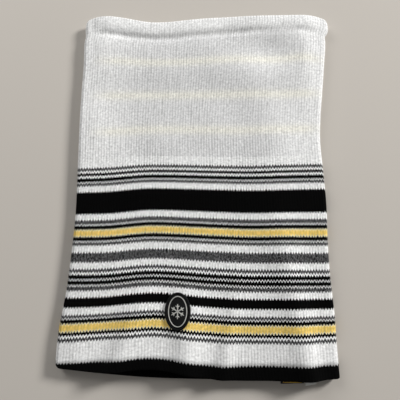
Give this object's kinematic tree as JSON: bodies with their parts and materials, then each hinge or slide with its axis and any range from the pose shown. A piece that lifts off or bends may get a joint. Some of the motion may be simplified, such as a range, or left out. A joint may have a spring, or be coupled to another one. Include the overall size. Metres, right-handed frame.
{
  "type": "neck gaiter",
  "caption": "Knitted double-layer neck gaiter tube lying flat, with a striped lower part, folded bands at both mouths, a sewn badge and two small labels.",
  "frame": {"origin": "a point on the underside of the back layer, half way along the tube and on its centre line", "axes": "+Y along the tube towards the white upper mouth, +Z out of the front layer that carries the badge, +X to the side of the labels"},
  "size_m": [0.2562, 0.3634, 0.018],
  "materials": {
    "striped_knit": "fine rib knit, white ground with black, grey and yellow courses",
    "white_knit": "fine rib knit, white, slightly fuzzy",
    "lining_knit": "fine rib knit, white with yellow courses",
    "black_knit": "fine rib knit, black",
    "black_thread": "sewing thread, black",
    "white_thread": "sewing thread, white",
    "badge_cloth": "twill with close embroidery, black",
    "pale_thread": "embroidery thread, pale",
    "dark_weave": "woven label, near black",
    "yellow_thread": "woven marks, yellow",
    "white_tape": "satin tape, white"
  },
  "bodies": {
    "lower_half": {"shell_lower": "striped_knit", "lining_lower": "lining_knit", "hem_band": "black_knit", "hem_seam": "black_thread", "back_seam_lower": "white_thread", "badge_border": "black_thread", "badge_backing": "badge_cloth", "badge_line": "pale_thread", "badge_motif": "pale_thread", "woven_label_stitch": "black_thread", "care_label_stitch": "white_thread"},
    "upper_half": {"shell_upper": "white_knit", "lining_upper": "lining_knit", "top_band": "white_knit", "top_seam": "white_thread", "back_seam_upper": "white_thread"},
    "woven_label_flap": {"woven_label": "dark_weave", "woven_mark": "yellow_thread"},
    "care_label_flap": {"care_label": "white_tape"}
  },
  "joints": [
    {"name": "fold_in_half", "type": "hinge", "parent": "lower_half", "child": "upper_half", "pos_m": [0, 0.05, 0.0182], "axis": [1, 0, 0], "range_deg": [0, 170]},
    {"name": "woven_label_lift", "type": "hinge", "parent": "lower_half", "child": "woven_label_flap", "pos_m": [0.0835, -0.1483, 0.00405], "axis": [-1, 0, 0], "range_deg": [0, 5]},
    {"name": "care_label_lift", "type": "hinge", "parent": "lower_half", "child": "care_label_flap", "pos_m": [0.1005, -0.1483, 0.00405], "axis": [-1, 0, 0], "range_deg": [0, 4]}
  ]
}
